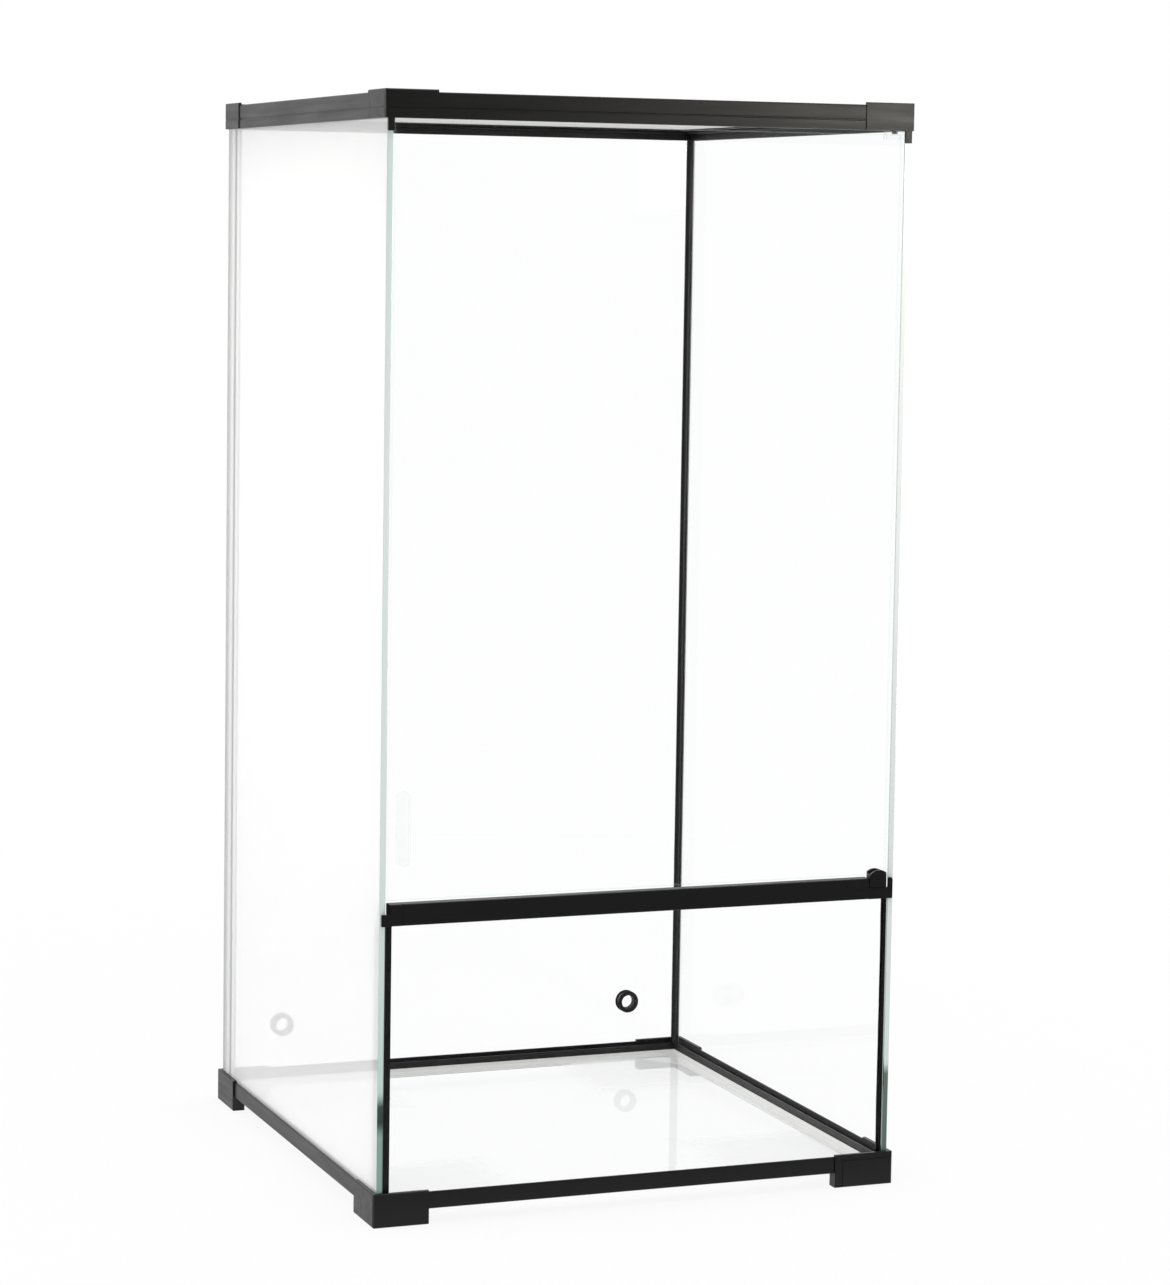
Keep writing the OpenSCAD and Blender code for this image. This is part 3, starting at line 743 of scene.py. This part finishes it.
# %% All mouldings of the tank
MOULDINGS = {
    "base_rail_front": (0.35, abs_along_x_painted_darker), "base_rail_back": (0.35, abs_along_x_painted_darker),
    "base_rail_left": (0.35, abs_along_y), "base_rail_right": (0.35, abs_along_y),
    "foot_front_left": (0.35, abs_along_x_painted_darker), "foot_front_right": (0.25, abs_along_x_painted_darker),
    "foot_back_left": (0.35, abs_along_y), "foot_back_right": (0.35, abs_along_y),
    "sill_rail": (0.35, abs_along_x_painted_darker), "sill_end_left": (0.3, abs_along_x_painted_darker),
    "sill_hinge_block": (0.3, abs_along_x_painted_darker),
    "top_rail_front": (0.25, abs_along_x_painted_darker), "top_rail_back": (0.25, abs_along_x_painted_darker),
    "top_rail_left": (0.25, abs_along_y), "top_rail_right": (0.25, abs_along_y),
    "top_corner_front_left": (0.25, abs_along_x_painted_darker), "top_corner_front_right": (0.25, abs_along_x_painted_darker),
    "top_corner_back_left": (0.25, abs_along_y), "top_corner_back_right": (0.25, abs_along_y),
}
for node, (radius, finish) in MOULDINGS.items():
    piece = soft_copy(node, node + "_moulding", radius, finish)
    dress(piece, "tank", "black_plastic", node)
    if node.startswith(("base_rail", "foot")):
        refinish(piece, bed, on_ledge_edge)
    if node in ("sill_rail", "sill_end_left"):
        refinish(piece, sawn_end, lambda face: abs(face.normal.x) > 0.5)
    print(node, len(piece.data.polygons), "faces")

# %% [markdown]
# ## Hinge and pull
# The lower shoe is black like the frame and turns on the sill's pin. The upper shoe and the pull
# are clear, because nothing dark shows there in the photograph. They all move with the door.

# %% Hinge shoes and pull
for node, finish, slot in (("door_shoe_lower", abs_along_x_painted_darker, "black_plastic"),
                           ("door_shoe_upper", clear_plastic, "clear_plastic"),
                           ("door_pull", clear_plastic, "clear_plastic")):
    piece = soft_copy(node, node + "_piece", 0.3, finish)
    dress(piece, "door", slot, node)
    print(piece.name, len(piece.data.polygons), "faces")

# %% [markdown]
# ## Lid
# The lid frame is the same moulded ABS, a flat frame that drops into the rim of the top rails.

# %% Lid frame
piece = soft_copy("lid_frame", "lid_frame_moulding", 0.3, abs_along_x_painted_darker)
dress(piece, "lid", "black_plastic", "lid_frame")
print("lid frame faces:", len(piece.data.polygons))

# %% [markdown]
# The screen is modelled as it is made: straight wires in two layers, one across the other. One
# wire is a thin six-sided bar, and an Array modifier repeats it. Real fly screen has a wire every
# 1.5 mm, which would blur to grey, so it is drawn at 2.5 mm.

# %% Wire screen
WIRE_PITCH, WIRE_RADIUS = mm(2.5), mm(0.15)

low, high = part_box("lid_mesh")
middle = (low + high) / 2
layers = []
for along, turn, side in ((0, (0, radians(90), 0), 1), (1, (radians(90), 0, 0), -1)):
    across = 1 - along
    length, width = (high - low)[along], (high - low)[across]
    count = int(width / WIRE_PITCH)
    start = middle.copy()
    start[across] -= WIRE_PITCH * (count - 1) / 2
    start.z += side * WIRE_RADIUS
    bpy.ops.object.select_all(action="DESELECT")
    bpy.ops.mesh.primitive_cylinder_add(vertices=6, radius=WIRE_RADIUS, depth=length,
                                        location=start, rotation=turn)
    wires = bpy.context.object
    bpy.ops.object.transform_apply(location=True, rotation=True, scale=True)
    step = [0.0, 0.0, 0.0]
    step[across] = WIRE_PITCH
    apply_modifier(wires, "ARRAY", count=count, use_relative_offset=False, use_constant_offset=True,
                   constant_offset_displace=step)
    layers.append(wires)
bpy.ops.object.select_all(action="DESELECT")
for wires in layers:
    wires.select_set(True)
bpy.context.view_layer.objects.active = layers[0]
bpy.ops.object.join()
screen = bpy.context.object
screen.name = screen.data.name = "lid_screen"
screen.data.materials.append(wire_metal)
dress(screen, "lid", "mesh_metal", "lid_mesh")
print("screen faces:", len(screen.data.polygons))

# %% [markdown]
# A rubber spline holds the screen down in the frame, as on a window screen. It is the CAD strip
# with well rounded edges, so it reads as a soft cord pressed into the corner.

# %% Screen spline
spline = soft_copy("lid_retainer", "lid_spline", 1.1, moulded_rubber)
dress(spline, "lid", "black_rubber", "lid_retainer")
print("spline faces:", len(spline.data.polygons))

# %% [markdown]
# ## Seals and grommets
# The silicone beads in the corners were laid from a gun and drawn with a finger, so they aren't
# perfectly even. A copy of each bead is cut across every 15 mm with the bisect operator, and a
# Displace modifier then moves only its free, hollow face by a few tenths of a millimetre. The
# faces on the glass stay where they are.

# %% Silicone beads
CUT_STEP, RIPPLE_SIZE, RIPPLE_DEPTH = mm(15), mm(30), mm(0.9)
TOUCH = mm(0.05)  # a point this near to the glass counts as on it

ripple = bpy.data.textures.new("finger_ripple", "CLOUDS")
ripple.noise_scale = RIPPLE_SIZE


def silicone_bead(node):
    """A bead that is cut across in steps and rippled on its free face."""
    low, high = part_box(node)
    bead = cad_copy(node, node + "_bead", silicone)
    cuts = int((high.z - low.z) / CUT_STEP)
    for i in range(1, cuts):
        height = low.z + (high.z - low.z) * i / cuts
        bpy.ops.mesh.select_all(action="SELECT")
        bpy.ops.mesh.bisect(plane_co=(0, 0, height), plane_no=(0, 0, 1))
    bpy.ops.object.mode_set(mode="OBJECT")
    outer_x = low.x if abs(low.x) > abs(high.x) else high.x
    outer_y = low.y if abs(low.y) > abs(high.y) else high.y
    free = bead.vertex_groups.new(name="free_face")
    for vertex in bead.data.vertices:
        on_glass = min(abs(vertex.co.x - outer_x), abs(vertex.co.y - outer_y)) < TOUCH
        at_end = min(abs(vertex.co.z - low.z), abs(vertex.co.z - high.z)) < TOUCH
        if not on_glass and not at_end:
            free.add([vertex.index], 1.0, "REPLACE")
    apply_modifier(bead, "DISPLACE", texture=ripple, texture_coords="LOCAL",
                   strength=RIPPLE_DEPTH, mid_level=0.5, vertex_group="free_face")
    bpy.ops.object.shade_smooth_by_angle(angle=SMOOTH_ANGLE)
    return bead


for node in ("seal_back_left", "seal_back_right", "seal_front_left", "seal_front_right"):
    bead = silicone_bead(node)
    dress(bead, "tank", "black_rubber", node)
    print(node, len(bead.data.polygons), "faces")

# %% [markdown]
# A grommet is a rubber ring with a groove that snaps over the rim of the hole. It starts as a
# cylinder. Its two caps are inset and bridged, which opens the bore, two cuts mark the faces of
# the glass, and the band between them is pushed in to form the groove. A Bevel modifier rounds
# both lips.

# %% Grommets
BORE, GROOVE = mm(6.25), mm(2)


def grommet(node):
    """A rubber ring with a groove round its middle, at the size of its CAD node."""
    low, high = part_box(node)
    centre, rim = (low + high) / 2, (high.x - low.x) / 2
    bpy.ops.object.select_all(action="DESELECT")
    bpy.ops.mesh.primitive_cylinder_add(vertices=64, radius=rim, depth=high.y - low.y,
                                        location=centre, rotation=(radians(90), 0, 0))
    ring = bpy.context.object
    ring.name = ring.data.name = node + "_ring"
    bpy.ops.object.transform_apply(location=True, rotation=True, scale=True)
    pick_faces(ring, lambda face: abs(face.normal.y) > 0.9)
    bpy.ops.object.mode_set(mode="EDIT")
    bpy.ops.mesh.inset(thickness=rim - BORE)
    bpy.ops.mesh.bridge_edge_loops()
    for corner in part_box("back_glass"):
        bpy.ops.mesh.select_all(action="SELECT")
        bpy.ops.mesh.bisect(plane_co=(0, corner.y, 0), plane_no=(0, 1, 0))
    bpy.ops.object.mode_set(mode="OBJECT")
    pick_faces(ring, lambda face: abs(face.center.y - centre.y) < mm(1)
               and (face.center - centre).xz.length > BORE + mm(1))
    bpy.ops.object.mode_set(mode="EDIT")
    bpy.ops.mesh.extrude_region_shrink_fatten(TRANSFORM_OT_shrink_fatten={"value": -GROOVE})
    bpy.ops.mesh.select_all(action="SELECT")
    bpy.ops.mesh.normals_make_consistent(inside=False)
    bpy.ops.object.mode_set(mode="OBJECT")
    ring.data.materials.append(moulded_rubber)
    apply_modifier(ring, "BEVEL", width=mm(0.5), segments=3, limit_method="ANGLE",
                   angle_limit=SMOOTH_ANGLE)
    bpy.ops.object.shade_smooth_by_angle(angle=SMOOTH_ANGLE)
    return ring


for node in ("port_grommet_left", "port_grommet_right"):
    ring = grommet(node)
    dress(ring, "tank", "black_rubber", node)
    print(node, len(ring.data.polygons), "faces")
